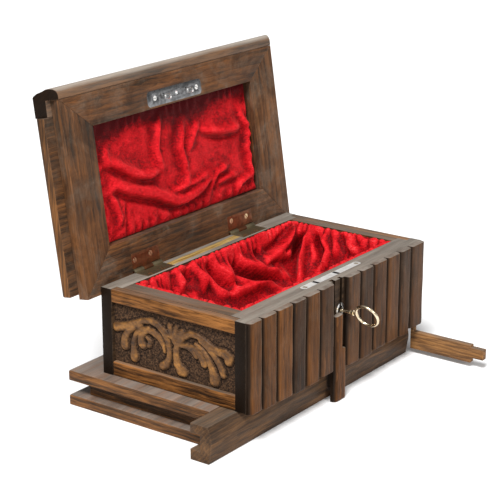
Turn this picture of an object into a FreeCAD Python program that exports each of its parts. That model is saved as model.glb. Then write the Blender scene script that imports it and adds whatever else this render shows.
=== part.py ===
# Secret puzzle box: a wooden casing on a hollow two-board base, with a hinged lid,
# a row of slats that hides a sliding one, a sliding front moulding, a sliding side
# bar and a key lock.  Millimetres.  The working frame below has its origin at the
# casing's front left bottom corner (+X along the slatted front, +Y to the back, +Z up);
# every solid is moved at the end so that the origin is the centre of the underside.
# Modelled as in use: lid open, key in the lock, secret slat down, moulding and bar out.
import FreeCAD, Part
import math
import os

V = FreeCAD.Vector

# ---------------------------------------------------------------- driving dimensions
L = 216.0            # casing length
D = 120.0            # casing depth
H = 61.8             # casing height
WF = 16.0            # front wall thickness
YB = 106.5           # inner face of the back wall
XL, XR = 18.0, 202.0 # inner faces of the end walls
FLOOR_T = 6.0        # casing floor thickness
END_T = 6.0          # end frame thickness
POST_F, POST_B = 8.2, 111.5
RAIL_LO, RAIL_HI = 10.3, 52.7
PANEL_X = 3.0        # depth of the carved ground behind the end frame
SLAT_T = 4.65        # slat thickness
SLAT_X = [0.0, 14.3, 30.4, 48.6, 63.9, 80.4, 97.4, 113.1, 130.0, 146.7, 164.7, 181.7, 197.1, 215.5]
SLAT_Z = [-0.5, -1.5, -1.7, -2.3, -2.1, -1.2, None, -3.0, -3.6, -2.3, -2.5, -3.1, -1.4]
SLAT_GAP = 0.35
SECRET = 6           # index of the secret slat
SLAT_TRAVEL = 24.5
BX0, BX1 = -10.5, 229.0   # base boards
BY0, BY1 = 21.0, 142.9
TB = 7.6             # board thickness
ZB = -25.6           # underside
CORE_X0, CORE_Y1 = -3.0, 130.4
CH0, CH1 = 209.6, 215.3   # channel of the side bar
MOULD_L = 240.2
MOULD_X0 = -30.9
MOULD_TRAVEL = 20.4
BAR_X0, BAR_X1 = 210.0, 214.9
BAR_TRAVEL = 71.5
KEY_X, KEY_Z = 109.8, 38.6
SHANK_R = 1.2
HINGE_Y, HINGE_Z = 121.4, 61.95
LID_ANGLE = 98.3
LID_Z = H + 0.3      # underside of the closed lid
FRAME_T = 8.2        # lid frame thickness
BOARD_T = 7.7        # lid board thickness
HINGE_X = [49.9, 159.3]
LEAF_HALF = 14.7
LEAF_T = 1.0
KNUCKLE_R = 2.0
PIN_R = 0.9
LOOP_X = [92.2, 117.0]    # staples of the strike plate, slots of the lock plate
BOLT_TRAVEL = 6.0
ORIGIN = V(109.0, 82.0, ZB)

NODES = {}


# ---------------------------------------------------------------- helpers
def box(x0, x1, y0, y1, z0, z1):
    return Part.makeBox(x1 - x0, y1 - y0, z1 - z0, V(x0, y0, z0))


def poly(points, vec):
    w = Part.makePolygon([V(*p) for p in points] + [V(*points[0])])
    return Part.Face(w).extrude(vec)


def prism_x(yz, x0, x1):
    return poly([(x0, a, b) for a, b in yz], V(x1 - x0, 0, 0))


def prism_y(xz, y0, y1):
    return poly([(a, y0, b) for a, b in xz], V(0, y1 - y0, 0))


def prism_z(xy, z0, z1):
    return poly([(a, b, z0) for a, b in xy], V(0, 0, z1 - z0))


def cyl(p, axis, r, h):
    return Part.makeCylinder(r, h, V(*p), V(*axis))


def edges_where(shape, test):
    out = []
    for e in shape.Edges:
        a, b = e.Vertexes[0].Point, e.Vertexes[-1].Point
        if test(a, b):
            out.append(e)
    return out


def near(a, b):
    return abs(a - b) < 1e-6


def round_box(s, r, test):
    es = edges_where(s, test)
    return s.makeFillet(r, es)


def add(name, shape):
    NODES[name] = shape


def screw(p, down, r=1.9, length=7.0, shank=0.8, slot_dir=(1, 0, 0)):
    """Flat-head wood screw, its head flush at p, going along down, with a driver slot."""
    d = V(*down)
    head = Part.makeCone(r, shank, 1.2, V(*p), d)
    stem = Part.makeCylinder(shank, length - 1.2, V(*p) + d * 1.2, d)
    s = head.fuse(stem).removeSplitter()
    sd = V(*slot_dir)
    n = d.cross(sd)
    c = V(*p)
    w = Part.makePolygon([c + sd * 2.5 + n * 0.22, c - sd * 2.5 + n * 0.22,
                          c - sd * 2.5 - n * 0.22, c + sd * 2.5 - n * 0.22,
                          c + sd * 2.5 + n * 0.22])
    slot = Part.Face(w).extrude(d * 0.45)
    return s.cut(slot)


def joined(shapes):
    out = shapes[0]
    for s in shapes[1:]:
        out = out.fuse(s)
    return out.removeSplitter()


def group(shapes):
    return Part.makeCompound(shapes)


# ---------------------------------------------------------------- lock, key, hinges (closed coordinates)
case_x0, case_x1, case_y0, case_y1, case_z0, case_z1 = 82.0, 136.0, 6.2, 11.8, 30.0, H - 1.3
plate_x0, plate_x1 = 76.0, 146.0
cav = box(case_x0 + 0.8, case_x1 - 0.8, case_y0 + 0.6, case_y1 - 0.6, case_z0 + 0.8, case_z1)
lock_case = box(case_x0, case_x1, case_y0, case_y1, case_z0, case_z1).cut(cav)
lugs = [box(case_x0 + 0.8, 90.0, case_y0 + 0.6, case_y1 - 0.6, 41.3, 43.2),
        box(126.0, case_x1 - 0.8, case_y0 + 0.6, case_y1 - 0.6, 41.3, 43.2),
        box(97.0, 105.0, case_y0 + 0.6, case_y1 - 0.6, 50.2, 52.0)]
lock_case = joined([lock_case] + lugs)
keyhole = joined([cyl((KEY_X, -1, KEY_Z), (0, 1, 0), 3.0, case_y0 + 1.6),
                  box(KEY_X - 1.1, KEY_X + 1.1, -1, case_y0 + 0.6, KEY_Z, KEY_Z + 6.6)])
lock_case = lock_case.cut(keyhole)

lock_screw_pos = [(79.6, 9.0, H), (142.4, 9.0, H)]
lock_screws = [screw(p, (0, 0, -1), r=1.7, length=9.0, slot_dir=(1, 0.3 * i, 0) if i == 0 else (0.8, -0.6, 0))
               for i, p in enumerate(lock_screw_pos)]
plate = box(plate_x0, plate_x1, case_y0, case_y1, H - 1.3, H)
plate = plate.makeFillet(2.4, edges_where(plate, lambda a, b: near(a.x, b.x) and near(a.y, b.y)))
for x in LOOP_X:
    plate = plate.cut(box(x - 1.2, x + 1.2, 6.85, 11.1, H - 2, H + 1))
for s in lock_screws:
    plate = plate.cut(s)

# bolt: a plate with two hook fingers and a notch that the key's bit drives
bz0, bz1 = 43.4, 50.0
bolt = [box(83.1, 128.0, 8.0, 10.0, bz0, bz1)]
for x in LOOP_X:
    bolt.append(box(x - 9.1, x - 7.3, 8.4, 9.6, bz1 - 1.0, 59.6))
    bolt.append(box(x - 9.1, x - 1.8, 8.4, 9.6, 57.8, 59.6))
bolt = joined(bolt).cut(box(KEY_X - 4.4, KEY_X + 1.6, 7.0, 11.0, bz0 - 1, bz0 + 3.2))

# key: shank, collar, bit and ring bow
tilt = math.radians(24.8)
bow_dir = V(math.sin(tilt), 0, -math.cos(tilt))
bow_n = V(math.cos(tilt), 0, math.sin(tilt))
bow_c = V(KEY_X, -21.2, KEY_Z)
bow = Part.makeTorus(8.4, 1.05, bow_c, bow_n)
shank = cyl((KEY_X, -13.0, KEY_Z), (0, 1, 0), SHANK_R, 13.0 + 10.9)
collar = cyl((KEY_X, -10.6, KEY_Z), (0, 1, 0), 1.9, 1.6)
collar2 = cyl((KEY_X, -8.2, KEY_Z), (0, 1, 0), 1.6, 0.8)
bit_w = Part.makePolygon([V(KEY_X, 7.2, KEY_Z) + bow_n * 0.8, V(KEY_X, 7.2, KEY_Z) - bow_n * 0.8,
                          V(KEY_X, 7.2, KEY_Z) - bow_n * 0.8 - bow_dir * 6.0,
                          V(KEY_X, 7.2, KEY_Z) + bow_n * 0.8 - bow_dir * 6.0,
                          V(KEY_X, 7.2, KEY_Z) + bow_n * 0.8])
bit = Part.Face(bit_w).extrude(V(0, 3.5, 0))
nick_c = V(KEY_X, 8.7, KEY_Z) - bow_dir * 5.2
nick_w = Part.makePolygon([nick_c + bow_n * 1.5 + bow_dir * 0.9, nick_c - bow_n * 1.5 + bow_dir * 0.9,
                           nick_c - bow_n * 1.5 - bow_dir * 1.4, nick_c + bow_n * 1.5 - bow_dir * 1.4,
                           nick_c + bow_n * 1.5 + bow_dir * 0.9])
bit = bit.cut(Part.Face(nick_w).extrude(V(0, 0.7, 0)))
key = joined([shank, collar, collar2, bow, bit])

# escutcheon: a brass liner let into the front wall round the keyhole
esc = cyl((KEY_X, 0, KEY_Z), (0, 1, 0), 5.2, 2.6).cut(
    joined([cyl((KEY_X, -1, KEY_Z), (0, 1, 0), 3.0, 5), box(KEY_X - 1.1, KEY_X + 1.1, -1, 4, KEY_Z, KEY_Z + 6.6)]))

# hinges
body_screw_pos = []
for c in HINGE_X:
    body_screw_pos += [(c + 4.5, 110.7, H), (c - 9.0, 110.7, H)]
body_screws = [screw(p, (0, 0, -1), slot_dir=((1, 0, 0) if i % 2 else (0.6, 0.8, 0))) for i, p in enumerate(body_screw_pos)]
lid_screw_pos = [(38.4, 113.4, LID_Z), (55.5, 112.7, LID_Z), (149.1, 112.5, LID_Z), (167.3, 113.0, LID_Z)]
lid_screws = [screw(p, (0, 0, 1), slot_dir=((0.6, 0.8, 0) if i % 2 else (0.2, 0.98, 0))) for i, p in enumerate(lid_screw_pos)]
body_leaves, lid_leaves, pins = [], [], []
for c in HINGE_X:
    ax = (c - LEAF_HALF, HINGE_Y, HINGE_Z)
    b = [box(c - LEAF_HALF, c + LEAF_HALF, 108.2, 119.1, H - LEAF_T, H)]
    for a0, a1 in ((c - LEAF_HALF, c - 5.0), (c + 5.0, c + LEAF_HALF)):
        b.append(box(a0, a1, 119.0, HINGE_Y, H - LEAF_T, H))
        b.append(cyl((a0, HINGE_Y, HINGE_Z), (1, 0, 0), KNUCKLE_R, a1 - a0))
    b = joined(b).cut(cyl((c - 20, HINGE_Y, HINGE_Z), (1, 0, 0), PIN_R, 40))
    for s in body_screws:
        b = b.cut(s)
    body_leaves.append(b)
    t = [box(c - LEAF_HALF, c + LEAF_HALF, 108.6, 119.1, LID_Z, LID_Z + LEAF_T),
         box(c - 4.8, c + 4.8, 119.0, HINGE_Y, LID_Z, LID_Z + LEAF_T),
         cyl((c - 4.8, HINGE_Y, HINGE_Z), (1, 0, 0), KNUCKLE_R, 9.6)]
    t = joined(t).cut(cyl((c - 20, HINGE_Y, HINGE_Z), (1, 0, 0), PIN_R + 0.06, 40))
    for s in lid_screws:
        t = t.cut(s)
    lid_leaves.append(t)
    pins.append(cyl(ax, (1, 0, 0), PIN_R, 2 * LEAF_HALF))

# ---------------------------------------------------------------- casing
runner_c = 101.1
groove = prism_z([(runner_c - 1.44, -0.01), (runner_c + 1.44, -0.01), (runner_c + 2.3, 3.5), (runner_c - 2.3, 3.5)], -1, H + 1)
front = box(0, L, 0, WF, 0, H)
front = front.cut(box(-1, END_T, POST_F, WF + 1, -1, H + 1)).cut(box(L - END_T, L + 1, POST_F, WF + 1, -1, H + 1))
front = front.cut(groove)
front = front.cut(box(KEY_X - 1.4, KEY_X + 1.4, -1, 2.5, 43.0, H + 1))
front = front.cut(box(case_x0, case_x1, case_y0, case_y1, case_z0, H + 1))
pl = box(plate_x0, plate_x1, case_y0, case_y1, H - 1.3, H + 1)
pl = pl.makeFillet(2.4, edges_where(pl, lambda a, b: near(a.x, b.x) and near(a.y, b.y)))
front = front.cut(pl).cut(keyhole).cut(cyl((KEY_X, -1, KEY_Z), (0, 1, 0), 5.2, 3.6))
for s in lock_screws:
    front = front.cut(s)
add("case_front", front)

back = box(0, L, YB, D, 0, H)
back = back.cut(box(-1, END_T, YB - 1, POST_B, -1, H + 1)).cut(box(L - END_T, L + 1, YB - 1, POST_B, -1, H + 1))
for c in HINGE_X:
    back = back.cut(box(c - LEAF_HALF, c + LEAF_HALF, 108.2, 119.1, H - LEAF_T, H + 1))
    back = back.cut(box(c - LEAF_HALF - 0.3, c + LEAF_HALF + 0.3, 119.1, D + 1, 59.6, H + 1))
for s in body_screws:
    back = back.cut(s)
add("case_back", back)

add("case_left", box(END_T, XL, WF, YB, 0, H))
add("case_right", box(XR, L - END_T, WF, YB, 0, H))
add("case_floor", box(XL, XR, WF, YB, 0, FLOOR_T))


def end_frame(side):
    """The rails and the carved panel of one end; side -1 is the left end, +1 the right."""
    def X(a):
        return a if side < 0 else L - a

    def bx(a0, a1, y0, y1, z0, z1):
        p, q = sorted((X(a0), X(a1)))
        return box(p, q, y0, y1, z0, z1)
    top = bx(0, END_T, POST_F, POST_B, RAIL_HI, H)
    low = bx(0, END_T, POST_F, POST_B, 0, RAIL_LO)
    panel = bx(PANEL_X, END_T, POST_F, POST_B, RAIL_LO, RAIL_HI)
    yc = 0.5 * (POST_F + POST_B)
    zc = 0.5 * (RAIL_LO + RAIL_HI)
    x0 = X(PANEL_X + 0.5)
    h = 2.6
    ax = (-1, 0, 0) if side < 0 else (1, 0, 0)

    def disc(y, z, r, r2=0.0, hh=h):
        s = cyl((x0, y, z), ax, r, hh)
        if r2:
            s = s.cut(cyl((x0, y, z), ax, r2, hh))
        return s
    leaves = []
    for m in (-1, 1):
        # one acanthus scroll: a C stem with a curled end and a fan of lobes
        stem = disc(yc + m * 19.0, zc - 1.0, 15.5, 11.6)
        cutter = bx(-3, 9, yc + m * 19.0 - 30, yc + m * 19.0 + 30, zc - 40, zc - 4.0)
        stem = stem.cut(cutter)
        leaves.append(stem)
        leaves.append(disc(yc + m * 36.0, zc - 6.0, 5.0, 1.8))
        leaves.append(disc(yc + m * 42.0, zc + 2.5, 3.6))
        leaves.append(disc(yc + m * 3.6, zc - 7.0, 5.4, 2.0))
        leaves.append(disc(yc + m * 24.5, zc - 9.5, 4.6))
        leaves.append(disc(yc + m * 17.5, zc - 11.5, 4.6))
        leaves.append(disc(yc + m * 11.0, zc - 13.5, 4.2))
        leaves.append(disc(yc + m * 19.0, zc - 3.0, 5.2))
        leaves.append(disc(yc + m * 30.0, zc + 9.8, 3.4))
        leaves.append(disc(yc + m * 7.0, zc + 8.5, 3.2))
    panel = joined([panel] + leaves)
    return top, low, panel


for side, nm in ((-1, "left"), (1, "right")):
    t_, l_, p_ = end_frame(side)
    add("end_top_rail_" + nm, t_)
    add("end_bottom_rail_" + nm, l_)
    add("carved_panel_" + nm, p_)

lining = box(XL + 0.15, XR - 0.15, WF + 0.15, YB - 0.15, FLOOR_T + 0.1, H - 0.4)
lining = lining.cut(box(XL + 4.15, XR - 4.15, WF + 4.15, YB - 4.15, FLOOR_T + 5.1, H + 5))
add("body_lining", lining)

# ---------------------------------------------------------------- slats
for i in range(13):
    if i == SECRET:
        continue
    x0, x1 = SLAT_X[i] + (SLAT_GAP / 2 if i else 0.0), SLAT_X[i + 1] - (SLAT_GAP / 2 if i < 12 else 0.0)
    s = box(x0, x1, -SLAT_T, 0, SLAT_Z[i], H)
    r = 2.1 if i not in (5, 8) else 1.5
    s = s.makeFillet(r, edges_where(s, lambda a, b: near(a.y, -SLAT_T) and near(b.y, -SLAT_T) and near(a.x, b.x)))
    add("slat_%02d" % (i + 1), s)

sz0 = ZB + 0.3
sz1 = H - SLAT_TRAVEL
sx0, sx1 = 97.9, 112.6
s = box(sx0, sx1, -SLAT_T, -0.15, sz0, sz1)
notch_x = KEY_X - SHANK_R - 0.3
s = s.cut(box(notch_x, sx1 + 1, -9, 4, KEY_Z - SHANK_R - 0.3 - SLAT_TRAVEL, sz1 + 1))
s = s.makeFillet(2.1, edges_where(s, lambda a, b: near(a.y, -SLAT_T) and near(b.y, -SLAT_T) and near(a.x, b.x) and abs(a.z - b.z) > 15))
run = prism_z([(runner_c - 1.1, -0.15), (runner_c + 1.1, -0.15), (runner_c + 1.9, 3.1), (runner_c - 1.9, 3.1)], sz0 + 10.0, sz1 - 1.0)
s = joined([s, run])
add("secret_slat", s)

add("lock_case", lock_case)
add("lock_plate", plate)
add("lock_screws", group(lock_screws))
add("lock_bolt", bolt)
add("escutcheon", esc)
add("key", key)
add("hinge_body_leaf_left", body_leaves[0])
add("hinge_body_leaf_right", body_leaves[1])
add("hinge_pins", group(pins))
add("hinge_body_screws", group(body_screws))

# ---------------------------------------------------------------- base
slot_y1 = 113.0
top_board = box(BX0, BX1, BY0, BY1, -TB, 0)
top_board = top_board.makeFillet(1.5, edges_where(top_board, lambda a, b: near(a.z, b.z) and near(a.z, 0) and not (near(a.y, BY0) and near(b.y, BY0))))
top_board = top_board.cut(box(CH0, CH1, BY0 - 5, slot_y1, -TB - 1, 1))
add("base_top_board", top_board)
low_board = box(BX0, BX1, BY0, BY1, ZB, ZB + TB)
low_board = low_board.makeFillet(1.5, edges_where(low_board, lambda a, b: near(a.z, b.z) and near(a.z, ZB + TB) and not (near(a.y, BY0) and near(b.y, BY0))))
low_board = low_board.cut(box(CH0, CH1, BY0 - 5, slot_y1, -21.9, 0))
add("base_bottom_board", low_board)
core = box(CORE_X0, CH0, BY0, CORE_Y1, ZB + TB, -TB)
core = core.cut(box(150.0, CH0 + 5, 42.0, 72.0, -30, 5))
add("base_core", core)
add("base_rail_right_front", box(CH1, 221.5, BY0 + 3, 40.0, ZB + TB, -TB))
add("base_rail_right_rear", box(CH1, 221.5, 74.0, CORE_Y1, ZB + TB, -TB))
tongue = prism_x([(13.3, -18.3), (13.3, -6.7), (BY0, -7.3), (BY0, -17.7)], -8.0, 208.0)
add("front_tongue", tongue)

# ---------------------------------------------------------------- sliding front moulding
mt = -0.2
prof = [(20.8, mt), (7.0, mt), (6.1, -2.0), (5.0, -5.0), (4.2, -8.0), (3.9, -10.5), (4.1, -14.0), (4.7, -18.0),
        (5.4, -22.0), (6.0, -25.4), (20.8, -25.4), (20.8, -18.0), (13.0, -18.6), (13.0, -6.4), (20.8, -7.0)]
mould = prism_x(prof, MOULD_X0, MOULD_X0 + MOULD_L)
mould = mould.cut(box(189.0, 212.0, 0, 25, -4.7, 2))
add("front_moulding", mould)

# ---------------------------------------------------------------- sliding side bar
bar = joined([box(BAR_X0, BAR_X1, -47.7, 3.0, -21.6, -8.1),
              box(BAR_X0, BAR_X1, -58.0, -47.7, -17.7, -9.8),
              box(BAR_X0, BAR_X1, 0.6, 3.0, -8.1, -0.7),
              box(BAR_X0, BAR_X1, 0.6, 25.0, -4.2, -0.7),
              box(BAR_X0, BAR_X1, 25.0, 40.0, -21.6, -0.7)])
add("side_bar", bar)

# ---------------------------------------------------------------- lid (closed coordinates, turned at the end)
lid = {}
fz0, fz1 = LID_Z, LID_Z + FRAME_T
bz0_, bz1_ = fz1, fz1 + BOARD_T
board = box(-20.5, 232.0, 4.0, 124.6, bz0_, bz1_)
board = board.makeFillet(2.2, edges_where(board, lambda a, b: near(a.z, bz1_) and near(b.z, bz1_) and not (near(a.y, 4.0) and near(b.y, 4.0))))
lid["lid_board"] = board
ox0, ox1, oy0, oy1 = -12.4, 222.5, -6.9, 127.8
ix0, ix1, iy0, iy1 = 16.1, 192.2, 15.4, 98.0
lid["lid_frame_left"] = prism_z([(ox0, oy0), (ix0, iy0), (ix0, iy1), (ox0, oy1)], fz0, fz1)
lid["lid_frame_right"] = prism_z([(ox1, oy0), (ix1, iy0), (ix1, iy1), (ox1, oy1)], fz0, fz1)
lf = prism_z([(ox0, oy0), (ox1, oy0), (ix1, iy0), (ix0, iy0)], fz0, fz1)
lb = prism_z([(ox0, oy1), (ox1, oy1), (ix1, iy1), (ix0, iy1)], fz0, fz1)
for c in HINGE_X:
    lb = lb.cut(box(c - LEAF_HALF, c + LEAF_HALF, 108.6, 119.1, fz0 - 1, fz0 + LEAF_T))
    lb = lb.cut(box(c - LEAF_HALF - 0.3, c + LEAF_HALF + 0.3, 119.0, 124.1, fz0 - 1, fz0 + 2.4))
for s in lid_screws:
    lb = lb.cut(s)

strike_y0, strike_y1, strike_x0, strike_x1 = 3.2, 14.2, 73.5, 133.6
st_pos = [(81.8, 8.7, LID_Z), (128.2, 8.7, LID_Z)]
strike_screws = [screw(p, (0, 0, 1), r=1.8, slot_dir=((0.9, 0.44, 0) if i else (1, 0, 0))) for i, p in enumerate(st_pos)]
strike = box(strike_x0, strike_x1, strike_y0, strike_y1, fz0, fz0 + 1.0)
strike = strike.makeFillet(3.0, edges_where(strike, lambda a, b: near(a.x, b.x) and near(a.y, b.y)))
lf = lf.cut(strike)
for s in strike_screws:
    strike = strike.cut(s)
    lf = lf.cut(s)
strike = strike.cut(Part.makeSphere(1.6, V(105.4, 8.9, fz0 - 0.9)))
loops = []
for x in LOOP_X:
    w = [(7.1, fz0 + 0.5), (7.1, fz0 - 4.2), (7.6, fz0 - 5.4), (9.0, fz0 - 6.0), (10.4, fz0 - 5.4), (10.9, fz0 - 4.2), (10.9, fz0 + 0.5)]
    lp = prism_x(w, x - 0.7, x + 0.7)
    hole = prism_x([(7.9, fz0 - 1.0), (7.9, fz0 - 4.1), (8.4, fz0 - 4.9), (9.6, fz0 - 4.9), (10.1, fz0 - 4.1), (10.1, fz0 - 1.0)], x - 2, x + 2)
    loops.append(lp.cut(hole))
strike = joined([strike] + loops)
lid["lid_frame_front"] = lf
lid["lid_frame_back"] = lb
lid["strike_plate"] = strike
lid["strike_screws"] = group(strike_screws)

rail = prism_x([(4.0, bz1_), (-9.6, bz1_), (-10.6, bz1_ - 0.5), (-12.2, bz1_ - 2.6), (-13.4, bz1_ - 6.1), (-14.5, fz0 + 7.6),
                (-14.7, fz0 + 5.4), (-14.4, fz0 + 3.2), (-13.3, fz0 + 1.4), (-11.6, fz0 + 0.3), (-9.8, fz0), (-7.4, fz0),
                (-7.1, fz0 + 0.5), (-7.1, fz1), (4.0, fz1)], -24.0, 236.0)
ends = prism_y([(-20.5, bz1_ + 0.001), (232.0, bz1_ + 0.001), (222.5, fz0 - 0.001), (-12.4, fz0 - 0.001)], -30, 20)
lid["lid_front_rail"] = rail.common(ends)
lid["lid_lining"] = box(ix0 + 0.3, ix1 - 0.3, iy0 + 0.3, iy1 - 0.3, fz1 - 3.3, fz1 - 0.1)
lid["hinge_lid_leaf_left"] = lid_leaves[0]
lid["hinge_lid_leaf_right"] = lid_leaves[1]
lid["hinge_lid_screws"] = group(lid_screws)
for k_, s_ in lid.items():
    s_ = s_.copy()
    s_.rotate(V(0, HINGE_Y, HINGE_Z), V(1, 0, 0), -LID_ANGLE)
    add(k_, s_)

# ---------------------------------------------------------------- export
os.makedirs("parts", exist_ok=True)
for name, shape in NODES.items():
    out = shape.copy()
    out.translate(ORIGIN.negative())
    if not out.isValid():
        print("INVALID", name)
    out.exportStep("parts/%s.step" % name)
print(len(NODES), "nodes written")
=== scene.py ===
import bpy, bmesh, math, random
import numpy as np
from mathutils import Vector, Matrix, noise


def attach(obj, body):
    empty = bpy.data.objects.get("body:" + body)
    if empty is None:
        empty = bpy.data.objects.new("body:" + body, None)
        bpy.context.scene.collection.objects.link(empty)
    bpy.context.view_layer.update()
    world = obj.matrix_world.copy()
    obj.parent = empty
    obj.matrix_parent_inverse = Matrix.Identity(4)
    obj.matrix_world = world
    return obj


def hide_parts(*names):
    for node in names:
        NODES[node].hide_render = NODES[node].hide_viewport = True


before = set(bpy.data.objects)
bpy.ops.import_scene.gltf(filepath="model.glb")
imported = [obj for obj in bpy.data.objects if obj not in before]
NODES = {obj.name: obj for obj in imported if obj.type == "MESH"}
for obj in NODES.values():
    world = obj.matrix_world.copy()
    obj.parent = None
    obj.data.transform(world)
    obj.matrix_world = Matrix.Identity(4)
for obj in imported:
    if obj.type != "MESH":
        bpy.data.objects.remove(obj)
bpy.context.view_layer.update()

# ------------------------------------------------------------------ frame of reference
# Working coordinates are millimetres from the casing's front left bottom corner.
OX, OY, OZ = 109.0, 82.0, -25.6
H = 61.8
LEN = 216.0
HY, HZ = 121.4, 61.95
LID_A = math.radians(-98.3)
CA, SA = math.cos(LID_A), math.sin(LID_A)


def M(x, y, z):
    return Vector(((x - OX) / 1000.0, (y - OY) / 1000.0, (z - OZ) / 1000.0))


def LIDP(x, y, z):
    """A point of the closed lid, moved to where the open lid has it."""
    dy, dz = y - HY, z - HZ
    return M(x, HY + CA * dy - SA * dz, HZ + SA * dy + CA * dz)


# ------------------------------------------------------------------ camera
cam_data = bpy.data.cameras.new("camera")
cam = bpy.data.objects.new("camera", cam_data)
bpy.context.collection.objects.link(cam)
yaw, pitch = math.radians(53.68), math.radians(17.91)
fwd = Vector((math.sin(yaw) * math.cos(pitch), math.cos(yaw) * math.cos(pitch), -math.sin(pitch)))
cam.location = M(-761.7, -564.05, 415.9)
rot = fwd.to_track_quat("-Z", "Y").to_matrix() @ Matrix.Rotation(math.radians(-0.10), 3, "Z")
cam.rotation_euler = rot.to_euler()
cam_data.sensor_width = 36.0
cam_data.lens = 115.96
cam_data.shift_x = -0.0006
cam_data.shift_y = 0.0024
cam_data.clip_start = 0.05
cam_data.clip_end = 20.0
bpy.context.scene.camera = cam

# ------------------------------------------------------------------ node helpers


class Tree:
    def __init__(self, name):
        self.mat = bpy.data.materials.new(name)
        self.mat.use_nodes = True
        self.t = self.mat.node_tree
        for n in list(self.t.nodes):
            self.t.nodes.remove(n)
        self.out = self.t.nodes.new("ShaderNodeOutputMaterial")

    def n(self, kind, **kw):
        node = self.t.nodes.new(kind)
        for k, v in kw.items():
            setattr(node, k, v)
        return node

    def link(self, a, b):
        self.t.links.new(a, b)

    def put(self, sock, v):
        if hasattr(v, "is_output") or isinstance(v, bpy.types.NodeSocket):
            self.link(v, sock)
        else:
            sock.default_value = v

    def coords(self, scale=(1, 1, 1), rot=(0, 0, 0), loc=(0, 0, 0), src=None):
        m = self.n("ShaderNodeMapping")
        if src is None:
            src = self.n("ShaderNodeTexCoord").outputs["Object"]
        self.link(src, m.inputs["Vector"])
        m.inputs["Scale"].default_value = scale
        m.inputs["Rotation"].default_value = rot
        m.inputs["Location"].default_value = loc
        return m.outputs["Vector"]

    def noise(self, vec, scale, detail=4.0, rough=0.55, dist=0.0):
        x = self.n("ShaderNodeTexNoise")
        self.link(vec, x.inputs["Vector"])
        x.inputs["Scale"].default_value = scale
        x.inputs["Detail"].default_value = detail
        x.inputs["Roughness"].default_value = rough
        x.inputs["Distortion"].default_value = dist
        return x.outputs["Fac"]

    def ramp(self, fac, stops, interp="LINEAR"):
        r = self.n("ShaderNodeValToRGB")
        r.color_ramp.interpolation = interp
        e = r.color_ramp.elements
        e[0].position, e[0].color = stops[0][0], self.c4(stops[0][1])
        e[1].position, e[1].color = stops[1][0], self.c4(stops[1][1])
        for p, c in stops[2:]:
            x = e.new(p)
            x.color = self.c4(c)
        self.link(fac, r.inputs["Fac"])
        return r.outputs["Color"]

    @staticmethod
    def c4(c):
        if isinstance(c, (int, float)):
            c = (c, c, c)
        return (*c[:3], 1.0)

    def math(self, op, a, b=None, clamp=False):
        x = self.n("ShaderNodeMath", operation=op)
        x.use_clamp = clamp
        self.put(x.inputs[0], a)
        if b is not None:
            self.put(x.inputs[1], b)
        return x.outputs[0]

    def mix(self, fac, a, b, blend="MIX"):
        x = self.n("ShaderNodeMix", data_type="RGBA", blend_type=blend)
        self.put(x.inputs[0], fac)
        self.put(x.inputs[6], a if not isinstance(a, tuple) else self.c4(a))
        self.put(x.inputs[7], b if not isinstance(b, tuple) else self.c4(b))
        return x.outputs[2]

    def bump(self, height, strength, dist, normal=None):
        b = self.n("ShaderNodeBump")
        b.inputs["Strength"].default_value = strength
        b.inputs["Distance"].default_value = dist
        self.link(height, b.inputs["Height"])
        if normal is not None:
            self.link(normal, b.inputs["Normal"])
        return b.outputs["Normal"]


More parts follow.
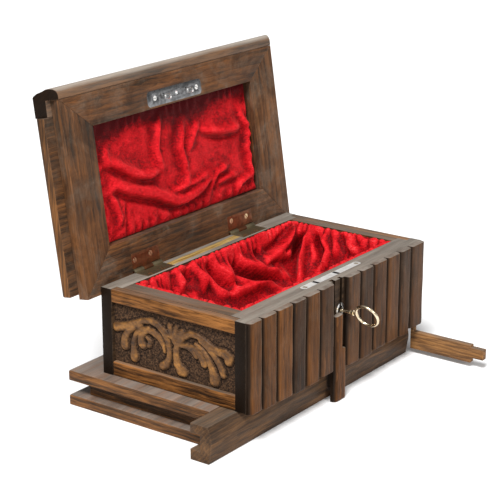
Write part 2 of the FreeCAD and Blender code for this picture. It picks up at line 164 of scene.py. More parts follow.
def wood(name, grain="x", dark=(0.022, 0.013, 0.008), mid=(0.085, 0.045, 0.022), light=(0.26, 0.125, 0.045),
         grey=(0.24, 0.20, 0.16), top_dust_and_sheen=0.25, grey_all=0.08, seed=0.0, rough=0.42, gold=0.5, end=False, tilt=0.0, coat=0.0, gap_shade_and_sheen=False, strip=False, mottle=0.0):
    """Stained, worn walnut: streaks and rings along the grain, fine pores, paler worn edges, greyed faces, a painted
    sheen on the faces that look up.
    """
    dark = (dark[0] * 0.72, dark[1] * 0.57, dark[2] * 0.42)
    mid = (mid[0] * 0.76, mid[1] * 0.58, mid[2] * 0.40)
    light = (light[0] * 0.88, light[1] * 0.67, light[2] * 0.45)
    T = Tree(name)
    k = {"x": (1.0, 9.0, 9.0), "y": (9.0, 1.0, 9.0), "z": (9.0, 9.0, 1.0)}[grain]
    kf = {"x": (1.0, 22.0, 22.0), "y": (22.0, 1.0, 22.0), "z": (22.0, 22.0, 1.0)}[grain]
    src = T.coords(rot=(tilt, 0, 0), loc=(seed * 0.37, seed * 0.71, seed * 0.53))
    vs = T.coords(scale=k, src=src)
    vf = T.coords(scale=kf, src=src)
    streak = T.noise(vs, 19.0, 5.0, 0.62, 0.6)
    broad = T.noise(T.coords(scale=tuple(0.5 + 0.5 * a ** 0.7 for a in k), src=src), 11.0, 3.0, 0.5, 0.3)
    wave = T.n("ShaderNodeTexWave", wave_type="RINGS", rings_direction={"x": "X", "y": "Y", "z": "Z"}[grain], wave_profile="SAW")
    T.link(T.coords(scale=tuple(a ** 0.55 for a in k), src=src), wave.inputs["Vector"])
    wave.inputs["Scale"].default_value = 38.0
    wave.inputs["Distortion"].default_value = 5.0
    wave.inputs["Detail"].default_value = 3.0
    wave.inputs["Detail Scale"].default_value = 1.4
    fib = T.noise(vf, 75.0, 3.0, 0.6)
    patch = T.noise(src, 26.0, 4.0, 0.62, 0.4)
    a = T.math("ADD", T.math("MULTIPLY", streak, 0.55), T.math("MULTIPLY", broad, 0.33))
    a = T.math("ADD", a, T.math("MULTIPLY", wave.outputs["Fac"], 0.10))
    a = T.math("ADD", a, T.math("MULTIPLY", T.math("SUBTRACT", fib, 0.5), 0.34))
    col = T.ramp(a, [(0.37, dark), (0.69, light), (0.48, mid), (0.57, tuple(m * (1 - gold) + l * gold for m, l in zip(mid, light)))])
    # stain that has gone patchy
    col = T.mix(T.math("MULTIPLY", T.ramp(patch, [(0.36, 0.0), (0.60, 1.0)]), 0.55), col, T.mix(0.5, col, tuple(d * 1.5 for d in dark)), "MIX")
    # greyed, dusty faces, and a paler grey on the ones that look up that is partly dust and partly painted sheen
    geo = T.n("ShaderNodeNewGeometry")
    sep = T.n("ShaderNodeSeparateXYZ")
    T.link(geo.outputs["Normal"], sep.inputs[0])
    up = T.ramp(sep.outputs["Z"], [(0.55, 0.0), (0.95, 1.0)])
    gpatch = T.ramp(T.noise(vs, 9.0, 6.0, 0.7), [(0.30, 0.25), (0.66, 1.0)])
    g = T.math("ADD", T.math("MULTIPLY", up, top_dust_and_sheen), grey_all)
    g = T.math("MULTIPLY", g, gpatch, True)
    col = T.mix(g, col, grey)
    if mottle:
        # rubbed, greyed patches and dark stains that ignore the grain
        m1 = T.ramp(T.noise(src, 34.0, 6.0, 0.68, 0.7), [(0.47, 0.0), (0.62, 1.0)])
        m2 = T.ramp(T.noise(T.coords(loc=(0.31, 0.17, 0.53), src=src), 30.0, 6.0, 0.70, 0.9), [(0.50, 0.0), (0.66, 1.0)])
        m3 = T.ramp(T.noise(T.coords(loc=(0.11, 0.47, 0.23), src=src), 420.0, 5.0, 0.75, 0.4), [(0.44, 0.0), (0.66, 1.0)])
        col = T.mix(T.math("MULTIPLY", T.math("MULTIPLY", m1, T.math("ADD", T.math("MULTIPLY", m3, 0.6), 0.4)), mottle), col, (0.165, 0.128, 0.095))
        col = T.mix(T.math("MULTIPLY", m2, mottle), col, (0.024, 0.014, 0.009))
    # worn edges
    bev = T.n("ShaderNodeBevel")
    bev.samples = 4
    bev.inputs["Radius"].default_value = 0.0011
    dot = T.n("ShaderNodeVectorMath", operation="DOT_PRODUCT")
    T.link(bev.outputs["Normal"], dot.inputs[0])
    T.link(geo.outputs["Normal"], dot.inputs[1])
    edge = T.ramp(dot.outputs["Value"], [(0.86, 1.0), (0.995, 0.0)])
    edge = T.math("MULTIPLY", edge, T.ramp(T.noise(src, 190.0, 4.0, 0.7), [(0.40, 0.0), (0.62, 1.0)]))
    col = T.mix(T.math("MULTIPLY", edge, 0.55), col, tuple(0.6 * l + 0.4 * g_ for l, g_ in zip(light, grey)))
    if strip:
        # bare wood along the rear rim between the hinges
        so_ = T.n("ShaderNodeSeparateXYZ")
        T.link(T.coords(), so_.inputs[0])
        edge_n = T.math("MULTIPLY", T.math("SUBTRACT", patch, 0.5), 0.004)
        yy = T.math("ADD", so_.outputs["Y"], edge_n)
        m1 = T.math("MULTIPLY", T.math("GREATER_THAN", yy, 0.0285), T.math("LESS_THAN", yy, 0.0345))
        m2 = T.math("MULTIPLY", T.math("GREATER_THAN", so_.outputs["X"], -0.058), T.math("LESS_THAN", so_.outputs["X"], 0.047))
        m3 = T.math("MULTIPLY", T.math("MULTIPLY", m1, m2), up)
        col = T.mix(m3, col, T.ramp(a, [(0.36, (0.16, 0.085, 0.02)), (0.66, (0.56, 0.40, 0.16)), (0.5, (0.36, 0.23, 0.075))]))
    if gap_shade_and_sheen:
        # painted shade on the faces that turn into the gaps between the strips, and a painted sheen on the arris beside
        # it
        gap_shade_mask = T.math("ABSOLUTE", sep.outputs["X"], 0.0)
        arris_sheen = T.math("MULTIPLY", T.ramp(sep.outputs["X"], [(0.12, 0.0), (0.70, 0.0), (0.42, 1.0)]), T.ramp(patch, [(0.36, 0.35), (0.60, 1.0)]))
        col = T.mix(T.math("MULTIPLY", arris_sheen, 0.60), col, (0.19, 0.125, 0.075))
        col = T.mix(T.math("MULTIPLY", T.ramp(gap_shade_mask, [(0.46, 0.0), (0.86, 1.0)]), 0.92), col, (0.010, 0.007, 0.005))
    if end:
        ab = T.math("ABSOLUTE", sep.outputs["X"], 0.0)
        col = T.mix(T.math("MULTIPLY", T.ramp(ab, [(0.45, 0.0), (0.8, 1.0)]), 0.94), col, tuple((0.8 if end is True else 0.2) * d for d in dark))
    b = T.n("ShaderNodeBsdfPrincipled")
    T.link(col, b.inputs["Base Color"])
    r = T.math("ADD", T.math("MULTIPLY", T.math("SUBTRACT", fib, 0.5), 0.35), T.math("ADD", T.math("MULTIPLY", patch, 0.16), rough - 0.08))
    T.link(r, b.inputs["Roughness"])
    b.inputs["Specular IOR Level"].default_value = 0.06
    if coat:
        b.inputs["Coat Weight"].default_value = coat
        b.inputs["Coat Roughness"].default_value = 0.3
    n1 = T.bump(fib, 0.35, 0.0006)
    n2 = T.bump(streak, 0.35, 0.0012, n1)
    T.link(n2, b.inputs["Normal"])
    T.link(b.outputs[0], T.out.inputs[0])
    return T.mat


def carving():
    """Carved wood: dark stippled ground, leaves rubbed to golden brown, painted shade in the hollow beside each leaf.
    """
    T = Tree("wood_carved")
    src = T.coords()
    sep = T.n("ShaderNodeSeparateXYZ")
    T.link(src, sep.inputs[0])
    ax = T.math("ABSOLUTE", T.math("SUBTRACT", sep.outputs["X"], -0.001), 0.0)
    depth = T.math("MULTIPLY", T.math("SUBTRACT", ax, 0.1051), 530.0)      # 0 on the ground, 1 on the leaves
    lift = T.ramp(depth, [(0.22, 0.0), (0.80, 1.0)])
    k = T.noise(T.coords(scale=(1.0, 1.0, 1.6), src=src), 130.0, 5.0, 0.6, 0.5)
    p = T.noise(src, 60.0, 3.0, 0.5)
    leaf = T.ramp(T.math("ADD", T.math("MULTIPLY", k, 0.6), T.math("MULTIPLY", p, 0.4)), [(0.38, (0.040, 0.020, 0.010)), (0.64, (0.30, 0.135, 0.034)), (0.50, (0.125, 0.056, 0.018))])
    st = T.noise(src, 900.0, 3.0, 0.7)
    ground = T.ramp(st, [(0.36, (0.006, 0.0035, 0.002)), (0.68, (0.12, 0.062, 0.030)), (0.50, (0.036, 0.018, 0.009))])
    # painted shade: the ground goes near black in the hollow cut beside the leaves
    ground = T.mix(T.ramp(T.math("ADD", depth, 0.35), [(0.05, 0.95), (0.30, 0.0)]), ground, (0.006, 0.003, 0.002))
    col = T.mix(lift, ground, leaf)
    b = T.n("ShaderNodeBsdfPrincipled")
    T.link(col, b.inputs["Base Color"])
    T.link(T.math("ADD", T.math("MULTIPLY", k, 0.25), T.math("SUBTRACT", 0.80, T.math("MULTIPLY", lift, 0.60))), b.inputs["Roughness"])
    b.inputs["Specular IOR Level"].default_value = 0.18
    T.link(T.bump(st, 0.5, 0.0005), b.inputs["Normal"])
    T.link(b.outputs[0], T.out.inputs[0])
    return T.mat


def metal(name, base, tarnish, rough=0.3, seed=0.0, amount=0.5, scale=160.0, pits=0.3, metallic=1.0, shaded_slots=(), proud_highlight=None, spot=None):
    T = Tree(name)
    src = T.coords(loc=(seed, seed * 0.3, seed * 0.7))
    p = T.noise(src, scale, 5.0, 0.65, 0.3)
    q = T.noise(src, scale * 6, 3.0, 0.6)
    col = T.mix(T.math("MULTIPLY", T.ramp(p, [(0.38, 0.0), (0.62, 1.0)]), amount), base, tarnish)
    if proud_highlight:
        # painted highlight where it stands out from the plate
        dp = T.n("ShaderNodeVectorMath", operation="DOT_PRODUCT")
        T.link(T.coords(), dp.inputs[0])
        dp.inputs[1].default_value = tuple(proud_highlight[1])
        out_ = T.math("MULTIPLY", T.math("SUBTRACT", dp.outputs["Value"], proud_highlight[0].dot(proud_highlight[1])), 1000.0)
        col = T.mix(T.ramp(out_, [(0.25, 0.0), (0.60, 1.0)]), col, (0.93, 0.92, 0.90))
    if spot:
        # the polished dimple
        ds = T.n("ShaderNodeVectorMath", operation="DISTANCE")
        T.link(T.coords(), ds.inputs[0])
        ds.inputs[1].default_value = tuple(spot)
        col = T.mix(T.ramp(T.math("MULTIPLY", ds.outputs["Value"], 1000.0 / 3.0), [(0.40, 1.0), (0.55, 0.0)]), col, (0.95, 0.95, 0.94))
    if shaded_slots:
        # painted shade in its slots, darkest inside them and fading out at their edges
        so_ = T.n("ShaderNodeSeparateXYZ")
        T.link(T.coords(), so_.inputs[0])
        for x_, y_, hx, hy in shaded_slots:
            dx = T.math("DIVIDE", T.math("ABSOLUTE", T.math("SUBTRACT", so_.outputs["X"], x_)), hx)
            dy = T.math("DIVIDE", T.math("ABSOLUTE", T.math("SUBTRACT", so_.outputs["Y"], y_)), hy)
            slot_shade = T.ramp(T.math("ADD", T.math("MAXIMUM", dx, dy), T.math("MULTIPLY", T.math("SUBTRACT", q, 0.5), 0.3)), [(0.85, 1.0), (1.0, 0.0)])
            col = T.mix(slot_shade, col, (0.015, 0.013, 0.012))
    b = T.n("ShaderNodeBsdfPrincipled")
    T.link(col, b.inputs["Base Color"])
    b.inputs["Metallic"].default_value = metallic
    T.link(T.math("ADD", T.math("MULTIPLY", p, 0.3), rough - 0.1), b.inputs["Roughness"])
    T.link(T.bump(q, pits, 0.0002), b.inputs["Normal"])
    T.link(b.outputs[0], T.out.inputs[0])
    return T.mat


def velvet(name, seed=0.0, fold_shading_amount=0.34):
    """Crushed red velvet: pile brushed both ways in patches, with painted shade in the creases and a painted highlight
    on the ridges.
    """
    T = Tree(name)
    src = T.coords(loc=(seed, seed * 0.7, seed * 1.3))
    crush = T.noise(T.coords(scale=(1.0, 1.0, 1.6), src=src), 240.0, 7.0, 0.78, 1.6)
    fine = T.noise(T.coords(scale=(1.0, 1.0, 2.2), src=src), 700.0, 4.0, 0.7, 0.8)
    big = T.noise(src, 55.0, 3.0, 0.5, 0.8)
    pile_and_fold_shading = T.noise(src, 2600.0, 2.0, 0.7)
    at = T.n("ShaderNodeAttribute", attribute_type="GEOMETRY", attribute_name="pile_and_fold_shading")
    f = T.math("ADD", T.math("MULTIPLY", T.math("SUBTRACT", crush, 0.5), 0.95), T.math("MULTIPLY", T.math("SUBTRACT", fine, 0.5), 0.70))
    f = T.math("ADD", f, T.math("ADD", T.math("MULTIPLY", T.math("SUBTRACT", big, 0.5), 0.45), 0.44))
    # painted shade in the creases and painted highlight on the ridges, from the attribute that finish_cloth stores
    f = T.math("ADD", f, T.math("MULTIPLY", T.math("SUBTRACT", at.outputs["Fac"], 0.5), fold_shading_amount))
    col = T.ramp(f, [(0.10, (0.050, 0.000, 0.001)), (0.27, (0.150, 0.000, 0.002)), (0.95, (0.95, 0.12, 0.12)), (0.42, (0.36, 0.002, 0.005)), (0.68, (0.66, 0.012, 0.018))])
    b = T.n("ShaderNodeBsdfPrincipled")
    T.link(col, b.inputs["Base Color"])
    b.inputs["Roughness"].default_value = 0.55
    b.inputs["Specular IOR Level"].default_value = 0.08
    b.inputs["Sheen Weight"].default_value = 0.22
    b.inputs["Sheen Roughness"].default_value = 0.45
    b.inputs["Sheen Tint"].default_value = (1.0, 0.16, 0.15, 1.0)
    h = T.math("ADD", T.math("MULTIPLY", crush, 0.5), T.math("MULTIPLY", pile_and_fold_shading, 0.25))
    T.link(T.bump(h, 0.5, 0.0016), b.inputs["Normal"])
    T.link(b.outputs[0], T.out.inputs[0])
    return T.mat


# ------------------------------------------------------------------ mesh helpers
def new_obj(name, verts, faces, mat=None, smooth=True):
    me = bpy.data.meshes.new(name)
    me.from_pydata([tuple(v) for v in verts], [], [tuple(f) for f in faces])
    me.validate()
    me.update()
    ob = bpy.data.objects.new(name, me)
    bpy.context.collection.objects.link(ob)
    bm = bmesh.new()
    bm.from_mesh(me)
    bmesh.ops.recalc_face_normals(bm, faces=bm.faces)
    bm.to_mesh(me)
    bm.free()
    if smooth:
        for p in me.polygons:
            p.use_smooth = True
    if mat:
        me.materials.append(mat)
    return ob


def apply_mods(ob):
    dg = bpy.context.evaluated_depsgraph_get()
    ev = ob.evaluated_get(dg)
    me = bpy.data.meshes.new_from_object(ev)
    old = ob.data
    ob.modifiers.clear()
    ob.data = me
    bpy.data.meshes.remove(old)
    return ob


def smooth_by_angle(ob, deg=35):
    me = ob.data
    for p in me.polygons:
        p.use_smooth = True
    bm = bmesh.new()
    bm.from_mesh(me)
    lim = math.radians(deg)
    for e in bm.edges:
        if len(e.link_faces) == 2 and e.calc_face_angle(0) > lim:
            e.smooth = False
    bm.to_mesh(me)
    bm.free()


def refine(node, mat, body, width=0.6, seg=3, slot=None, name=None):
    """A copy of a CAD piece with its arrises rounded by width (mm), standing for the node."""
    me = NODES[node].data.copy()
    ob = bpy.data.objects.new(name or (node + ".v"), me)
    bpy.context.collection.objects.link(ob)
    bm = bmesh.new()
    bm.from_mesh(me)
    bmesh.ops.remove_doubles(bm, verts=bm.verts, dist=1e-6)
    bmesh.ops.dissolve_limit(bm, angle_limit=math.radians(0.8), verts=bm.verts, edges=bm.edges)
    for e in bm.edges:
        e.smooth = True
    bmesh.ops.recalc_face_normals(bm, faces=bm.faces)
    bm.to_mesh(me)
    bm.free()
    if width > 0:
        m = ob.modifiers.new("b", "BEVEL")
        m.width = width / 1000.0
        m.segments = seg
        m.limit_method = "ANGLE"
        m.angle_limit = math.radians(32)
        m.use_clamp_overlap = True
        apply_mods(ob)
    ob.data.materials.clear()
    ob.data.materials.append(mat)
    smooth_by_angle(ob, 38)
    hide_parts(node)
    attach(ob, body)
    return ob


def side_faces(ob, mat, axis=0, lim=0.7):
    """A second finish on the faces that look along an axis."""
    ob.data.materials.append(mat)
    k = len(ob.data.materials) - 1
    for p in ob.data.polygons:
        if abs(p.normal[axis]) > lim:
            p.material_index = k


def loft(name, rings, mat, body, node=None, cap=True, smooth_deg=40):
    """Rings are lists of points with the same count; the shell between them, closed at both ends."""
    n = len(rings[0])
    verts = [p for r in rings for p in r]
    faces = []
    for i in range(len(rings) - 1):
        for j in range(n):
            a, b = i * n + j, i * n + (j + 1) % n
            faces.append((a, b, b + n, a + n))
    if cap:
        faces.append(tuple(range(n - 1, -1, -1)))
        faces.append(tuple((len(rings) - 1) * n + j for j in range(n)))
    ob = new_obj(name, verts, faces, mat)
    smooth_by_angle(ob, smooth_deg)
    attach(ob, body)
    if node:
        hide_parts(*([node] if isinstance(node, str) else node))
    return ob


def nz(x, y, z, s=1.0, o=0.0):
    return noise.noise(Vector((x * s + o, y * s + o * 0.7, z * s + o * 1.3)))


# ------------------------------------------------------------------ materials
GREY = (0.25, 0.215, 0.175)
W_FRONT = wood("wood_front", "x", seed=1.0, top_dust_and_sheen=0.55, grey_all=0.0)
W_END = wood("wood_end", "y", seed=2.0, top_dust_and_sheen=0.6, grey_all=0.0)
W_POST = wood("wood_post", "x", seed=3.0, dark=(0.014, 0.010, 0.008), mid=(0.042, 0.030, 0.022), light=(0.10, 0.068, 0.045), top_dust_and_sheen=1.0, grey=(0.29, 0.255, 0.215), grey_all=0.03, end=True)
W_RAIL = wood("wood_rail", "y", seed=4.0, mid=(0.14, 0.072, 0.030), light=(0.36, 0.19, 0.075), top_dust_and_sheen=0.5, grey_all=0.0, gold=0.65)
W_CARVE = carving()
W_BASE = wood("wood_base", "x", coat=0.25, seed=6.0, grey=(0.34, 0.29, 0.25), top_dust_and_sheen=0.62, grey_all=0.0, mid=(0.10, 0.052, 0.024))
W_BASE2 = wood("wood_base_low", "x", coat=0.25, seed=7.0, grey=(0.34, 0.29, 0.25), top_dust_and_sheen=0.62, grey_all=0.0, mid=(0.085, 0.044, 0.021))
W_MOULD = wood("wood_moulding", "x", seed=8.0, top_dust_and_sheen=0.3, grey_all=0.12, mid=(0.075, 0.045, 0.026), light=(0.20, 0.12, 0.06))
W_BAR = wood("wood_bar", "y", seed=9.0, mid=(0.20, 0.115, 0.052), light=(0.42, 0.26, 0.12), dark=(0.06, 0.032, 0.016), top_dust_and_sheen=0.4, grey_all=0.12, gold=0.6)
W_LIGHT = wood("wood_inner", "x", seed=10.0, mid=(0.22, 0.13, 0.06), light=(0.42, 0.27, 0.12), dark=(0.08, 0.04, 0.02), top_dust_and_sheen=0.2, grey_all=0.1)
W_LID = wood("wood_lid_board", "x", mottle=0.3, seed=11.0, mid=(0.085, 0.045, 0.024), light=(0.24, 0.12, 0.05), top_dust_and_sheen=0.2, grey_all=0.08)
W_LRAIL = wood("wood_lid_rail", "x", end=2, seed=12.0, mid=(0.095, 0.055, 0.032), light=(0.22, 0.13, 0.07), top_dust_and_sheen=1.0, grey=(0.36, 0.31, 0.26), grey_all=0.22)
W_LF_X = wood("wood_lid_frame_x", "x", seed=13.0, mid=(0.118, 0.056, 0.024), light=(0.24, 0.118, 0.048), top_dust_and_sheen=0.3, grey_all=0.16, grey=(0.20, 0.155, 0.12), tilt=0.14, mottle=0.55)
W_LF_Z = wood("wood_lid_frame_z", "z", seed=14.0, mid=(0.118, 0.056, 0.024), light=(0.24, 0.118, 0.048), top_dust_and_sheen=0.3, grey_all=0.16, grey=(0.21, 0.165, 0.125), tilt=0.14, mottle=0.55)
VELVET = velvet("velvet_body", 0.0)
VELVET2 = velvet("velvet_lid", 3.0, 0.24)
STEEL = metal("nickel_plate", (0.40, 0.40, 0.40), (0.13, 0.13, 0.13), 0.24, 1.0, 0.75, 260.0, 0.5)
IRON = metal("lock_iron", (0.030, 0.028, 0.026), (0.012, 0.011, 0.010), 0.5, 7.0, 0.5)
BRIGHT = metal("nickel_bright", (0.88, 0.87, 0.84), (0.40, 0.38, 0.35), 0.42, 2.0, 0.45, metallic=0.55,
               shaded_slots=[(M(92.2, 0, 0).x, M(0, 8.9, 0).y, 0.0016, 0.0028), (M(117.0, 0, 0).x, M(0, 8.9, 0).y, 0.0016, 0.0028)])
NICKEL = metal("nickel_ring", (0.80, 0.79, 0.77), (0.34, 0.32, 0.30), 0.25, 8.0, 0.4)
BRASS_OLD = metal("brass_coppery", (0.30, 0.115, 0.050), (0.10, 0.045, 0.025), 0.38, 3.0, 0.6, 220.0)
BRASS_GREY = metal("brass_greyed", (0.33, 0.27, 0.16), (0.13, 0.115, 0.075), 0.42, 4.0, 0.6, 220.0)
BRASS = metal("brass_screw", (0.80, 0.62, 0.36), (0.42, 0.26, 0.12), 0.26, 5.0, 0.4)
KEYM = metal("key_brass", (0.86, 0.74, 0.54), (0.48, 0.33, 0.17), 0.2, 6.0, 0.45, 240.0)

# ------------------------------------------------------------------ casing
refine("case_front", W_POST, "casing", 0.5, 2, "walnut_wood")
W_BACK = wood("wood_back", "x", seed=3.5, dark=(0.014, 0.010, 0.008), mid=(0.042, 0.030, 0.022), light=(0.10, 0.068, 0.045), top_dust_and_sheen=1.0, grey=(0.29, 0.255, 0.215), grey_all=0.03, end=True, strip=True)
refine("case_back", W_BACK, "casing", 0.4, 2, "walnut_wood")
refine("case_left", W_END, "casing", 0.3, 2, "walnut_wood")
refine("case_right", W_END, "casing", 0.3, 2, "walnut_wood")
refine("case_floor", W_LIGHT, "casing", 0.3, 2, "light_wood")
for s_ in ("left", "right"):
    refine("end_top_rail_" + s_, W_RAIL, "casing", 0.7, 3, "walnut_wood")
    refine("end_bottom_rail_" + s_, W_RAIL, "casing", 1.0, 3, "walnut_wood")
W_SIDE = wood("wood_side_y", "y", seed=15.0, mid=(0.13, 0.068, 0.030), light=(0.34, 0.18, 0.07), gold=0.55)
side_faces(refine("base_top_board", W_BASE, "casing", 0.7, 3, "walnut_wood"), W_SIDE)
side_faces(refine("base_bottom_board", W_BASE2, "casing", 0.7, 3, "walnut_wood"), W_SIDE)
side_faces(refine("base_core", W_LIGHT, "casing", 0.4, 2, "light_wood"), W_SIDE)
refine("base_rail_right_front", W_LIGHT, "casing", 0.3, 2, "light_wood")
refine("base_rail_right_rear", W_LIGHT, "casing", 0.3, 2, "light_wood")
refine("front_tongue", W_LIGHT, "casing", 0.3, 2, "light_wood")
refine("front_moulding", W_MOULD, "moulding", 0.6, 3, "walnut_wood")
refine("side_bar", W_BAR, "side_bar", 0.5, 3, "light_wood")
for nme, mt_ in (("lid_board", W_LID), ("lid_front_rail", W_LRAIL), ("lid_frame_front", W_LF_X), ("lid_frame_back", W_LF_X),
                 ("lid_frame_left", W_LF_Z), ("lid_frame_right", W_LF_Z)):
    o_ = refine(nme, mt_, "lid", 0.5, 3, "walnut_wood")
    if nme == "lid_board":
        side_faces(o_, wood("wood_lid_side", "z", seed=16.0, mid=(0.13, 0.068, 0.030), light=(0.34, 0.18, 0.07), gold=0.5))


# ------------------------------------------------------------------ carved panels: a relief cut into each end
STROKES = [
    [(109.33, 35.22, 3.4), (104.44, 36.31, 2.96), (98.22, 38.77, 2.22), (92.03, 41.93, 1.92), (85.91, 44.27, 2.0), (79.01, 45.52, 2.22), (73.07, 44.04, 2.37), (68.06, 39.9, 2.37), (64.78, 34.34, 2.15), (63.54, 27.94, 1.92), (64.16, 22.15, 2.07), (66.79, 17.62, 2.81), (69.81, 15.83, 2.81)],
    [(86.85, 41.31, 1.18), (92.99, 38.52, 1.78), (98.34, 34.47, 2.22), (102.0, 29.35, 2.66), (102.5, 24.57, 3.4), (102.18, 23.21, 3.33)],
    [(80.84, 40.54, 1.04), (87.8, 37.91, 1.41), (92.25, 33.71, 1.63), (94.32, 27.89, 1.85), (94.31, 22.17, 2.37), (94.07, 17.91, 3.4), (94.11, 16.47, 3.33)],
    [(78.3, 38.99, 1.18), (84.38, 36.56, 1.7), (87.94, 32.56, 2.37), (87.62, 28.01, 3.11), (86.34, 26.88, 2.96)],
    [(82.73, 33.39, 1.18), (79.77, 31.24, 1.92), (81.15, 27.37, 1.63)],
    [(83.47, 38.54, 1.33), (77.47, 38.13, 2.52), (71.97, 35.5, 2.52), (68.66, 30.98, 1.78), (67.47, 26.31, 1.04)],
    [(58.54, 29.81, 1.92), (55.92, 35.68, 2.37), (51.68, 40.63, 2.37), (46.24, 43.81, 2.15), (40.47, 43.74, 2.15), (34.76, 41.59, 2.22), (29.09, 38.43, 2.37), (23.02, 36.4, 2.66), (17.79, 36.26, 3.4), (14.59, 34.27, 3.7), (15.0, 31.77, 3.11)],
    [(38.05, 40.49, 1.18), (32.35, 37.67, 1.78), (26.69, 33.13, 2.22), (22.26, 27.96, 2.37), (19.86, 23.01, 2.44), (19.47, 21.03, 2.22)],
    [(41.77, 37.9, 1.18), (35.64, 35.17, 1.63), (31.19, 29.98, 1.92), (28.39, 23.02, 2.66), (26.39, 17.24, 4.0), (26.4, 15.5, 3.85)],
    [(45.52, 35.64, 1.18), (40.99, 34.27, 2.07), (37.33, 30.26, 2.81), (34.91, 26.32, 3.11), (34.91, 25.27, 2.81)],
    [(57.24, 32.22, 1.92), (58.17, 26.39, 2.37), (57.01, 20.32, 3.26), (54.12, 16.43, 4.14), (52.45, 16.13, 3.85)],
    [(53.86, 33.71, 1.33), (48.43, 34.62, 2.22), (43.91, 32.19, 2.07), (41.06, 28.33, 1.18)],
    [(61.77, 37.48, 1.04), (62.53, 42.2, 2.07), (63.31, 45.87, 1.92)],
    [(60.93, 37.32, 1.04), (58.75, 42.36, 1.78), (57.43, 46.14, 1.63)],
    [(60.52, 37.07, 1.04), (56.27, 40.48, 1.92), (52.46, 44.13, 1.92)],
    [(62.19, 37.38, 0.89), (65.94, 40.03, 1.63), (68.43, 42.62, 1.48)],
    [(61.34, 38.28, 1.04), (59.7, 35.51, 1.78), (58.47, 33.69, 1.33)],
]


def carved_panel(node, side):
    y0, y1, z0, z1 = 8.25, 111.45, 10.35, 52.65
    nx, nyy = 287, 119
    ys = np.linspace(y0, y1, nx)
    zs = np.linspace(z0, z1, nyy)
    Y, Z = np.meshgrid(ys, zs)
    R = np.zeros(Y.shape)
    OUT = np.full(Y.shape, 99.0)      # distance outside the nearest leaf
    for poly in STROKES:
        best = np.full(Y.shape, 9.0)
        for (ya, za, wa), (yb, zb, wb) in zip(poly[:-1], poly[1:]):
            dy, dz = yb - ya, zb - za
            l2 = max(1e-9, dy * dy + dz * dz)
            t = np.clip(((Y - ya) * dy + (Z - za) * dz) / l2, 0, 1)
            w = (wa + (wb - wa) * t) * 1.13
            d = np.hypot(Y - ya - t * dy, Z - za - t * dz) / w
            OUT = np.minimum(OUT, (d - 1) * w)
            best = np.minimum(best, d)
        q = np.clip(best, 0, 1)
        wm = max(w_ for _, _, w_ in poly)
        prof = np.clip(1 - q ** 2.3, 0, 1) ** 0.55 * (0.72 + 0.075 * min(wm, 3.8)) - 0.16 * np.exp(-(best / 0.22) ** 2) * (wm > 2.2)
        R = np.maximum(R, np.where(best < 1, prof, 0))
    # the knife's marks: shallow flutes across the leaves, stippled ground between them
    G = np.zeros(Y.shape)
    N = np.zeros(Y.shape)
    for j in range(nyy):
        for i in range(nx):
            y_, z_ = Y[j, i], Z[j, i]
            G[j, i] = nz(y_, z_, 0, 1.3, 4.0)
            N[j, i] = nz(y_, z_, 0, 0.35, 8.0)
    k_ = np.ones(3) / 3.0
    for _ in range(1):
        R = np.apply_along_axis(lambda r: np.convolve(r, k_, "same"), 1, R)
        R = np.apply_along_axis(lambda r: np.convolve(r, k_, "same"), 0, R)
    flat = np.clip(1 - R * 3.0, 0, 1)
    moat = np.exp(-(np.maximum(OUT, 0) / 0.9) ** 2) * (R < 0.05)
    D = 2.05 * R + 0.07 * N * (R > 0.2) + flat * (0.10 * N + 0.11 * G) - 0.55 * moat
    xg = 3.0 - D          # distance from the end's outer face
    xg = np.clip(xg, 0.92, 3.9)
    verts, faces = [], []
    put = (lambda x, y, z: M(x, y, z)) if side == "left" else (lambda x, y, z: M(LEN - x, y, z))
    for j in range(nyy):
        for i in range(nx):
            verts.append(put(xg[j, i], Y[j, i], Z[j, i]))
    n = nx * nyy
    for j in range(nyy - 1):
        for i in range(nx - 1):
            a = j * nx + i
            faces.append((a, a + 1, a + nx + 1, a + nx))
    rim_ = [j * nx for j in range(nyy)] + [(nyy - 1) * nx + i for i in range(1, nx)] + [j * nx + nx - 1 for j in range(nyy - 2, -1, -1)] + [i for i in range(nx - 2, 0, -1)]
    for a in rim_:
        j, i = divmod(a, nx)
        verts.append(put(5.95, Y[j, i], Z[j, i]))
    m = len(rim_)
    for k in range(m):
        faces.append((rim_[k], rim_[(k + 1) % m], n + (k + 1) % m, n + k))
    faces.append(tuple(n + k for k in range(m)))
    ob = new_obj("carving_" + side, verts, faces, W_CARVE)
    smooth_by_angle(ob, 60)
    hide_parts(node)
    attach(ob, "casing")
    return ob


carved_panel("carved_panel_left", "left")
carved_panel("carved_panel_right", "right")

# slats: rounded strips, cut by hand, each with its own tone
SLAT_X = [0.0, 14.3, 30.4, 48.6, 63.9, 80.4, 97.4, 113.1, 130.0, 146.7, 164.7, 181.7, 197.1, 215.5]
TONES = [(1.05, 0.55), (1.15, 0.75), (1.2, 0.65), (0.42, 0.1), (1.0, 0.55), (0.50, 0.12), (1.1, 0.55), (0.78, 0.45), (0.62, 0.25), (0.74, 0.4), (0.78, 0.45), (0.68, 0.35), (0.80, 0.4)]
rng = random.Random(7)


